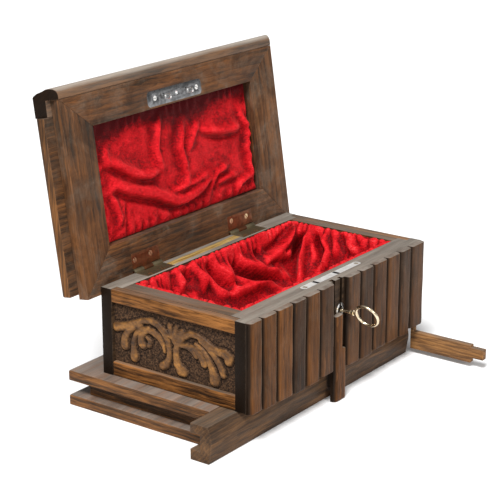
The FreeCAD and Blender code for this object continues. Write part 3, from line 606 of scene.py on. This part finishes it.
def slat(i, node, body, x0, x1, z0, z1, t=4.65, back=0.0, notch=None, material=None):
    o = 11.3 * (i + 1)
    nz_ = max(2, int((z1 - z0) / 1.6))
    rings = []
    zs = [z0, z0 + 0.25, z0 + 0.8] + [z0 + 0.8 + (z1 - z0 - 1.6) * k / nz_ for k in range(1, nz_)] + [z1 - 0.8, z1 - 0.25, z1]
    for z in zs:
        e = 0.0
        if z - z0 < 0.79:
            e = 0.8 - math.sqrt(max(0.0, 0.64 - (0.8 - (z - z0)) ** 2))
        if z1 - z < 0.79:
            e = 0.45 * (0.8 - math.sqrt(max(0.0, 0.64 - (0.8 - (z1 - z)) ** 2)))
        a = x0 + 0.06 + 0.14 * (1 + nz(0, 0, z, 0.11, o)) + 0.35 * e
        b = x1 - 0.06 - 0.14 * (1 + nz(9, 0, z, 0.11, o)) - 0.35 * e
        if notch and z > notch[1]:
            b = min(b, notch[0])
        f = -t + 0.05 + 0.12 * (1 + nz(5, 3, z, 0.07, o)) + e * 0.8
        r = 3.3 + 0.5 * nz(3, 7, z, 0.09, o)
        r2 = 3.3 + 0.5 * nz(6, 1, z, 0.09, o)
        ring = [(a, back)]
        ring.append((a, f * 0.45 + back * 0.55))
        for k in range(7):
            th = math.pi / 2 * k / 6
            ring.append((a + r * (1 - math.cos(th)), f + r * (1 - math.sin(th))))
        m = 5
        for k in range(1, m):
            u = k / m
            xx = a + r + (b - r2 - a - r) * u
            ring.append((xx, f - 0.0 + 0.10 * nz(xx, 2, z, 0.25, o)))
        for k in range(7):
            th = math.pi / 2 * (1 - k / 6)
            ring.append((b - r2 * (1 - math.cos(th)), f + r2 * (1 - math.sin(th))))
        ring.append((b, f * 0.45 + back * 0.55))
        ring.append((b, back))
        rings.append([M(x, min(y, back), z) for x, y in ring])
    return loft("slat.%02d.v" % (i + 1), rings, material, body, node, smooth_deg=50)


SLAT_Z = [-0.5, -1.5, -1.7, -2.3, -2.1, -1.2, None, -3.0, -3.6, -2.3, -2.5, -3.1, -1.4]
for i in range(13):
    tone, gold = TONES[i]
    mat = wood("wood_slat_%02d" % (i + 1), "z", seed=20.0 + 1.7 * i, mottle=0.14, dark=tuple(0.9 * tone * c for c in (0.046, 0.024, 0.011)),
               mid=tuple(tone * c for c in (0.108, 0.053, 0.023)), light=tuple((0.5 + 0.5 * tone) * c for c in (0.20, 0.100, 0.040)),
               top_dust_and_sheen=0.95, grey=(0.27, 0.235, 0.20), grey_all=0.0 if tone > 0.8 else 0.05, gold=gold * 0.8, gap_shade_and_sheen=True)
    if i == 6:
        s_ = slat(i, "secret_slat", "secret_slat", 97.9, 112.6, -25.3, 37.3, back=-0.15, notch=(108.3, 12.6), material=mat)
        # its dovetail runner
        ring = lambda z: [M(x, y, z) for x, y in ((100.0, -0.2), (102.2, -0.2), (103.0, 3.1), (99.2, 3.1))]
        loft("slat.07.runner.v", [ring(-15.3), ring(36.3)], mat, "secret_slat", None, smooth_deg=30)
    else:
        g = 0.175
        slat(i, "slat_%02d" % (i + 1), "casing", SLAT_X[i] + (g if i else 0), SLAT_X[i + 1] - (g if i < 12 else 0), SLAT_Z[i], H, material=mat)

# ------------------------------------------------------------------ metal
for nme, mt_, w in (("lock_case", IRON, 0), ("lock_plate", BRIGHT, 0.15), ("lock_screws", BRASS, 0), ("escutcheon", NICKEL, 0.2),
                    ("hinge_body_leaf_left", BRASS_GREY, 0.15), ("hinge_body_leaf_right", BRASS_GREY, 0.15), ("hinge_pins", BRASS_OLD, 0),
                    ("hinge_body_screws", BRASS, 0)):
    refine(nme, mt_, "casing", w, 2, "nickel_steel" if "lock" in nme or nme == "escutcheon" else "aged_brass")
refine("lock_bolt", STEEL, "bolt", 0.15, 2, "nickel_steel")
refine("key", KEYM, "key", 0.0, 2, "bright_brass")
STRIKE = metal("nickel_strike", (0.24, 0.24, 0.245), (0.07, 0.07, 0.07), 0.26, 1.0, 0.8, 260.0, 0.5,
               proud_highlight=(LIDP(100.0, 9.0, 62.1), (LIDP(0, 0, -1) - LIDP(0, 0, 0)).normalized()), spot=LIDP(105.4, 8.9, 62.3))
refine("strike_plate", STRIKE, "lid", 0.15, 2, "nickel_steel")
refine("strike_screws", BRIGHT, "lid", 0, 2, "bright_brass")
refine("hinge_lid_leaf_left", BRASS_OLD, "lid", 0.15, 2, "aged_brass")
refine("hinge_lid_leaf_right", BRASS_OLD, "lid", 0.15, 2, "aged_brass")
refine("hinge_lid_screws", BRASS, "lid", 0, 2, "bright_brass")

# ------------------------------------------------------------------ velvet linings
def grid_faces(nx, ny):
    return [(j * nx + i, j * nx + i + 1, (j + 1) * nx + i + 1, (j + 1) * nx + i) for j in range(ny - 1) for i in range(nx - 1)]


def finish_cloth(name, pts, nx, ny, mat, node, body, up, tone=0.0):
    ob = new_obj(name, pts, grid_faces(nx, ny), mat)
    # the crush of the pile
    me = ob.data
    for v in me.vertices:
        c = v.co
        v.co = c + v.normal * (0.00022 * noise.noise(c * 320.0) + 0.00010 * noise.noise(c * 900.0))
    for p in me.polygons:
        p.use_smooth = True
    me.update()
    # how far each point stands above (or lies below) the cloth round it, stored as an attribute that paints shade in
    # the hollows and a highlight on the raised parts; tone adds painted shadow where it is negative
    g = np.array([tuple(v.co) for v in me.vertices]).reshape(ny, nx, 3)
    n_ = np.cross(np.gradient(g, axis=1), np.gradient(g, axis=0))
    n_ /= np.linalg.norm(n_, axis=-1, keepdims=True) + 1e-12
    n_ *= np.sign((n_ @ np.array(up))[..., None].sum() + 1e-12)
    sm = [g]
    for rounds in (8, 34):
        a = sm[-1]
        for _ in range(rounds):
            q = np.pad(a, ((1, 1), (1, 1), (0, 0)), mode="edge")
            a = 0.2 * (a + q[:-2, 1:-1] + q[2:, 1:-1] + q[1:-1, :-2] + q[1:-1, 2:])
        sm.append(a)
    lift = ((g - sm[1]) * n_).sum(-1) / 0.00042 + ((sm[0] - sm[2]) * n_).sum(-1) / 0.0024
    at = me.attributes.new("pile_and_fold_shading", "FLOAT", "POINT")
    at.data.foreach_set("value", np.clip(0.5 + 0.5 * np.clip(lift, -1, 1) + tone, -1.5, 1).astype(np.float32).ravel())
    n_ = Vector((0, 0, 0))
    for p in me.polygons:
        n_ += p.normal * p.area
    if n_.dot(up) < 0:
        me.flip_normals()
    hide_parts(node)
    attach(ob, body)
    return ob


BODY_FOLDS = [
    (-2.4, 3, 3, [(182.8, 270.04), (189.01, 282.46), (192.11, 291.78)]),
    (-1.6, 2.2, 2.2, [(196.25, 260.72), (201.43, 270.04), (204.95, 280.39)]),
    (-3, 3.2, 2.6, [(205.57, 260.72), (212.82, 272.11), (220.06, 282.46), (234.55, 293.85)]),
    (-2.6, 2.6, 2.2, [(228.34, 255.55), (232.07, 270.04), (237.66, 289.71)]),
    (-3.6, 2.2, 4.5, [(234.55, 255.96), (240.77, 270.46), (254.22, 277.49), (274.93, 279.98), (284.87, 282.88)]),
    (2.6, 4.5, 1.6, [(239.73, 256.58), (246.98, 265.9), (262.51, 273.15), (282.17, 276.67)]),
    (1.8, 3.5, 2.5, [(258.36, 264.24), (274.93, 258.03), (293.56, 254.31)]),
    (-2, 2.4, 2.4, [(253.4, 248.3), (258.78, 257.62), (265.61, 263.42)]),
    (3.2, 3.2, 2.6, [(295.63, 219.32), (291.08, 234.43), (279.48, 248.92), (264.58, 257.2)]),
    (-2.2, 2.6, 2.2, [(283.62, 231.74), (274.93, 244.78), (262.51, 251.41)]),
    (3.2, 3, 2.4, [(311.16, 226.98), (305.16, 245.2), (301.01, 261.76), (298.74, 281.43)]),
    (-2.6, 3.4, 3, [(302.26, 231.74), (296.25, 247.27), (293.56, 260.72)]),
    (2.8, 2.6, 2.6, [(321.51, 229.05), (324.62, 241.06), (330.0, 251.82), (325.86, 264.24), (315.92, 273.15)]),
    (-2.4, 2.4, 2.4, [(316.34, 231.74), (317.16, 245.2), (320.89, 256.58)]),
    (2.2, 2.2, 2.2, [(333.93, 232.36), (337.45, 245.2), (336.63, 258.65)]),
    (-2, 2.2, 2.2, [(341.18, 232.36), (342.84, 246.23)]),
    (2.2, 2.2, 2.2, [(347.39, 233.81), (349.88, 245.2), (355.67, 252.44)]),
    (-1.6, 2, 2, [(354.02, 235.26), (356.5, 245.2)]),
    (1.8, 2, 2, [(361.88, 236.5), (364.37, 245.61)]),
    (1.6, 1.8, 1.8, [(370.17, 238.57), (372.65, 244.78)]),
    (2.2, 2.6, 2.4, [(174.51, 264.87), (179.69, 276.25), (182.17, 287.64)]),
    (2.4, 2.6, 2.4, [(191.7, 262.8), (198.32, 276.25), (202.88, 291.78)]),
    (2.2, 2.6, 2.4, [(215.92, 260.72), (222.75, 274.18), (230.21, 287.64)]),
    (2, 5, 4, [(219.03, 293.85), (245.94, 291.78), (262.51, 287.02), (283.21, 278.32)]),
    (1.8, 3, 3, [(158.99, 270.04), (163.13, 278.32), (168.3, 284.53)]),
]


def fold_field(X, Y, folds, hook):
    """Ridges (positive) and creases (negative) along drawn lines; hook adds the hollow under a ridge."""
    out = np.zeros(X.shape)
    for A, wu, wl, poly in folds:
        best = np.full(X.shape, 1e9)
        sgn = np.zeros(X.shape)
        fade = np.zeros(X.shape)
        seg = np.array(poly, float)
        L = np.concatenate([[0], np.cumsum(np.hypot(*(seg[1:] - seg[:-1]).T))])
        for k in range(len(seg) - 1):
            p, q = seg[k], seg[k + 1]
            d = q - p
            l2 = max(1e-9, d @ d)
            t = np.clip(((X - p[0]) * d[0] + (Y - p[1]) * d[1]) / l2, 0, 1)
            dx, dy = X - p[0] - t * d[0], Y - p[1] - t * d[1]
            dist = np.hypot(dx, dy)
            m = dist < best
            best = np.where(m, dist, best)
            sgn = np.where(m, np.sign(d[0] * dy - d[1] * dx), sgn)
            s_ = (L[k] + t * math.sqrt(l2)) / L[-1]
            fade = np.where(m, np.clip(4.5 * s_, 0.15, 1) * np.clip(4.5 * (1 - s_), 0.15, 1), fade)
        up = np.exp(-(best / wu) ** 2)
        dn = (1 + 0.151 * hook) * np.exp(-(best / wl) ** 2) - hook * np.exp(-((best - 2.2 * wl) / (1.6 * wl)) ** 2)
        out += A * fade * np.where(sgn < 0, up, dn)
    for _ in range(2):
        c = out.copy()
        c[1:-1, 1:-1] = 0.4 * out[1:-1, 1:-1] + 0.15 * (out[:-2, 1:-1] + out[2:, 1:-1] + out[1:-1, :-2] + out[1:-1, 2:])
        out = c
    return out


def noise_grid(X, Y, sx, o, sy=None):
    out = np.empty(X.shape)
    for idx, (a, b_) in enumerate(zip(X.ravel(), Y.ravel())):
        out.flat[idx] = noise.noise(Vector((a * sx + o, b_ * (sy or sx) + 0.7 * o, 1.3 * o)))
    return out


def body_lining():
    x0, x1, y0, y1 = 18.25, 201.75, 16.25, 106.25
    nx, ny = 169, 85
    cx, cy = (x0 + x1) / 2, (y0 + y1) / 2
    # more rows near the rim, where the cloth hangs steeply
    g = lambda n: np.sin(np.linspace(-math.pi / 2, math.pi / 2, n)) * 0.45 + np.linspace(-1, 1, n) * 0.55
    X, Y = np.meshgrid(cx + g(nx) * (x1 - x0) / 2, cy + g(ny) * (y1 - y0) / 2)
    dl, dr, df, db = X - x0, x1 - X, Y - y0, y1 - Y
    d = np.minimum(np.minimum(dl, dr), np.minimum(df, db))
    wall = lambda q, L: np.exp(-np.maximum(q - 2.6, 0) / L)
    hang = np.maximum(np.maximum(wall(dl, 6.0), wall(df, 6.0)), 0.0)
    hang = 1 - (1 - hang) * (1 - wall(dr, 13.0)) * (1 - wall(db, 14.0))
    rim = H - 0.6
    Z = rim - 1.2 - 42.0 * (1 - hang) + 2.2 * noise_grid(X, Y, 0.05, 5.0) * np.clip(d / 20, 0, 1)
    # outermost rows are tacked to the casing, below the gathers
    Z = np.where(d < 0.6, rim - 1.0, Z)
    # gathers: puffs of uneven width that die out down the wall
    near_long = np.minimum(df, db) < np.minimum(dl, dr)
    s_ = np.where(near_long, X, Y + 37.0)
    ph = s_ * 0.44 + 1.5 * np.sin(s_ * 0.13 + 1.0) + 1.1 * np.sin(s_ * 0.29 + 0.4) + np.where(near_long & (df < db), 2.0, 0.0) + 0.10 * d
    puff = np.abs(np.sin(ph)) ** 0.65
    size = 0.75 + 0.55 * noise_grid(s_, d * 0.0, 0.09, 7.0)
    # points and normals
    P = np.stack([X, Y, Z], -1)
    n_ = np.cross(np.gradient(P, axis=1), np.gradient(P, axis=0))
    n_ /= np.linalg.norm(n_, axis=-1, keepdims=True) + 1e-9
    n_ *= np.sign(n_[..., 2:3] + 1e-9)
    # into the box, away from the wall
    crest = np.exp(-((d - 2.2) / 2.4) ** 2)
    down = np.exp(-np.maximum(d - 2.0, 0) / 6.5) * (d > 0.6)
    disp = 3.0 * size * (puff - 0.5) * down
    P = P + n_ * disp[..., None]
    P[..., 2] += 1.3 * crest * (puff - 0.5) * (d > 0.6) + 0.7 * crest
    # large folds, drawn as seen from the front left
    mw = cam.matrix_world.inverted()
    f_ = cam_data.lens / 36.0 * 500.0
    px = np.empty(X.shape)
    py = np.empty(X.shape)
    for j in range(ny):
        for i in range(nx):
            c = mw @ M(*P[j, i])
            px[j, i] = 250 + f_ * c.x / -c.z - cam_data.shift_x * 500
            py[j, i] = 250 - f_ * c.y / -c.z + cam_data.shift_y * 500
    see = np.clip((d - 2.0) / 5.0, 0, 1) * np.clip((df - 4) / 14, 0, 1) * np.clip((dl - 4) / 14, 0, 1)
    fold = fold_field(px, py, BODY_FOLDS, 0.25) + 0.7 * noise_grid(X, Y, 0.11, 2.0)
    # the hidden sides get loose folds of their own
    hid = np.clip(1 - see, 0, 1) * np.clip((d - 2.0) / 5.0, 0, 1)
    own = 1.4 * np.sin(s_ * 0.33 + 2.0 * np.sin(s_ * 0.07) + 0.04 * d) + 0.9 * noise_grid(X, Y, 0.09, 11.0)
    P = P + n_ * (fold * see * 3.4 + own * hid * 0.9)[..., None]
    lo = np.array([x0 + 0.1, y0 + 0.1, 6.4])
    hi = np.array([x1 - 0.1, y1 - 0.1, H + 2.6])
    P = np.minimum(np.maximum(P, lo), hi)
    # where the closed lid's frame comes down, nothing stands above the rim
    under = (X > 190.0) | (Y > 96.0) | (X < 18.6) | (Y < 16.6)
    top = H + 0.05 - 0.0
    P[..., 2] = np.where(under, np.minimum(P[..., 2], top), P[..., 2])
    pts = [M(*q) for q in P.reshape(-1, 3)]
    return finish_cloth("body_lining.v", pts, nx, ny, VELVET, "body_lining", "casing", Vector((0, 0, 1)))


LID_FOLDS = [
    (3.2, 5.0, 1.5, [(23.1, 44.9), (32.3, 45.3), (40.6, 50.1), (49.1, 55.0), (59.7, 59.6), (71.0, 61.7), (85.3, 59.6)]),
    (4, 5.0, 1.7, [(22.7, 65.2), (28.5, 63.7), (33.6, 61.6), (40.4, 65.1), (48.3, 68.4), (73.9, 76.8), (83.8, 82.1), (94.2, 86.1), (104.3, 86.8), (115.1, 85.2), (126.4, 81.7), (135.9, 77.1), (140.5, 71.3), (144.7, 70.6)]),
    (1.4, 2.2, 1.7, [(87.8, 77.3), (98.0, 77.0), (114.8, 76.0), (127.9, 74.0), (137.0, 71.4)]),
    (1.8, 1.9, 3.1, [(91.3, 19.5), (86.8, 30.2), (81.6, 43.3), (84.5, 55.5), (87.6, 60.1)]),
    (2, 2.0, 3.1, [(115.5, 30.5), (110.8, 38.7), (107.4, 48.5), (109.7, 59.5), (113.0, 69.5)]),
    (1.5, 1.7, 2.5, [(131.4, 34.8), (124.8, 41.5), (119.3, 48.3), (114.0, 53.8)]),
    (2.6, 5.0, 1.3, [(130.3, 40.5), (142.3, 44.5), (154.8, 47.3), (170.1, 48.2), (182.7, 47.0)]),
    (1.8, 2.5, 2.5, [(181.0, 29.2), (182.8, 40.4), (189.2, 51.9), (183.9, 64.0), (185.7, 78.2), (187.6, 92.6)]),
    (2.6, 2.9, 1.3, [(134.9, 87.7), (137.6, 81.5), (143.8, 75.4), (158.6, 72.5)]),
    (2.4, 2.9, 1.3, [(165.5, 94.6), (169.4, 88.5), (178.4, 86.4), (186.4, 86.7)]),
    (1.8, 2.9, 1.3, [(143.4, 82.8), (154.7, 81.2), (168.1, 81.4)]),
    (-0.9, 0.6, 1.1, [(43.7, 72.0), (42.5, 80.8), (41.3, 89.5), (40.0, 100.0)]),
    (1.6, 2.2, 1.9, [(28.5, 63.7), (32.1, 73.4), (34.9, 82.9), (31.4, 90.9)]),
    (1.3, 2.2, 2.0, [(31.0, 33.1), (28.2, 40.0), (28.8, 45.7)]),
    (1.6, 2.2, 1.9, [(113.0, 69.5), (106.7, 74.7), (98.0, 77.0)]),
]


def lid_lining():
    x0, x1, y0, y1 = 16.35, 191.95, 15.65, 97.75
    nx, ny = 157, 79
    base = 70.2            # the lid board's underside, closed coordinates
    xs = np.linspace(x0 + 0.3, x1 - 0.3, nx)
    ys = np.linspace(y0 + 0.3, y1 - 0.3, ny)
    X, Y = np.meshgrid(xs, ys)
    Hh = 2.0 + 1.6 / (1 + np.exp(-(Y - 30.0) / 4.0)) + 0.5 / (1 + np.exp(-(Y - 75.0) / 6.0))
    for j in range(ny):
        for i in range(nx):
            Hh[j, i] += 0.8 * nz(X[j, i], Y[j, i], 0, 0.045, 3.0) + 0.35 * nz(X[j, i], Y[j, i], 0, 0.12, 9.0)
    Hh += 2.0 * fold_field(X, Y, LID_FOLDS, 0.36) - 0.6
    edge = np.minimum(np.minimum(X - x0, x1 - X), np.minimum(Y - y0, y1 - Y))
    # the gathered border is tucked under the frame
    Hh = 1.0 + (Hh - 1.0) * (1 - np.exp(-(np.maximum(edge - 0.3, 0) / 2.2)))
    ruff = np.zeros(X.shape)
    for j in range(ny):
        for i in range(nx):
            c = Y[j, i] if x1 - X[j, i] < 14 or X[j, i] - x0 < 8 else X[j, i]
            ruff[j, i] = math.sin(c * 0.62 + 2.2 * math.sin(c * 0.11)) + 0.6 * nz(X[j, i], Y[j, i], 1, 0.15, 2.0)
    Hh += ruff * 0.75 * np.exp(-((edge - 4.0) / 3.6) ** 2)
    Hh = np.clip(Hh, 0.8, 7.4)
    co = np.array([LIDP(X[j, i], Y[j, i], base - Hh[j, i]) for j in range(ny) for i in range(nx)])
    # keep it inside the recess, measured from the board
    nrm = np.array((LIDP(0, 0, 1) - LIDP(0, 0, 0)).normalized())
    org = np.array(LIDP(0, 0, base))
    d = (co - org) @ nrm
    want = np.clip(d, -0.0077, -0.0006)
    co = co + np.outer(want - d, nrm)
    ey = np.array((LIDP(0, 1, 0) - LIDP(0, 0, 0)).normalized())
    yy = (co - np.array(LIDP(0, 0, base))) @ ey
    yw = np.clip(yy, (y0 + 0.1) / 1000, (y1 - 0.1) / 1000)
    co = co + np.outer(yw - yy, ey)
    co[:, 0] = np.clip(co[:, 0], M(x0 + 0.1, 0, 0).x, M(x1 - 0.1, 0, 0).x)
    # painted shadow of the frame: the tone argument darkens the cloth along its front edge, which is at the top when
    # the lid is open, and along its left edge
    return finish_cloth("lid_lining.v", co, nx, ny, VELVET2, "lid_lining", "lid", Vector((0, -1, 0)),
                        -2.6 * np.exp(-(np.maximum(Y - y0, 0) / (10.0 + 3.0 * np.sin(X * 0.06 + 0.6))) ** 2) - 1.2 * np.exp(-((X - x0) / 2.5) ** 2))


body_lining()
lid_lining()

# ------------------------------------------------------------------ floor and light
fl = new_obj("floor", [(-6, -6, 0), (6, -6, 0), (6, 6, 0), (-6, 6, 0)], [(0, 1, 2, 3)])
T = Tree("floor_paper")
b = T.n("ShaderNodeBsdfPrincipled")
nn = T.noise(T.coords(), 3.0, 2.0)
T.link(T.mix(nn, (0.93, 0.93, 0.93), (0.96, 0.96, 0.96)), b.inputs["Base Color"])
b.inputs["Roughness"].default_value = 0.9
b.inputs["Specular IOR Level"].default_value = 0.1
T.link(b.outputs[0], T.out.inputs[0])
fl.data.materials.append(T.mat)

world = bpy.data.worlds.new("world")
bpy.context.scene.world = world
world.use_nodes = True
bg = world.node_tree.nodes["Background"]
bg.inputs[0].default_value = (1.0, 1.0, 1.0, 1.0)
bg.inputs[1].default_value = 0.30
bpy.context.scene.view_settings.view_transform = "Standard"
bpy.context.scene.view_settings.look = "None"


def area(name, loc, target, size, power, colour=(1, 1, 1)):
    l = bpy.data.lights.new(name, "AREA")
    l.energy = power
    l.size = size
    l.color = colour
    o = bpy.data.objects.new(name, l)
    bpy.context.collection.objects.link(o)
    o.location = loc
    o.rotation_euler = (Vector(target) - Vector(loc)).to_track_quat("-Z", "Y").to_euler()
    return o


sun = bpy.data.lights.new("key_sun", "SUN")
sun.energy = 4.0
sun.angle = math.radians(18)
so = bpy.data.objects.new("key_sun", sun)
bpy.context.collection.objects.link(so)
so.rotation_euler = Vector((0.70, 0.26, -1.0)).to_track_quat("-Z", "Y").to_euler()
area("front_fill", (-0.45, -1.3, 0.75), (0, 0, 0.06), 0.7, 9.0)
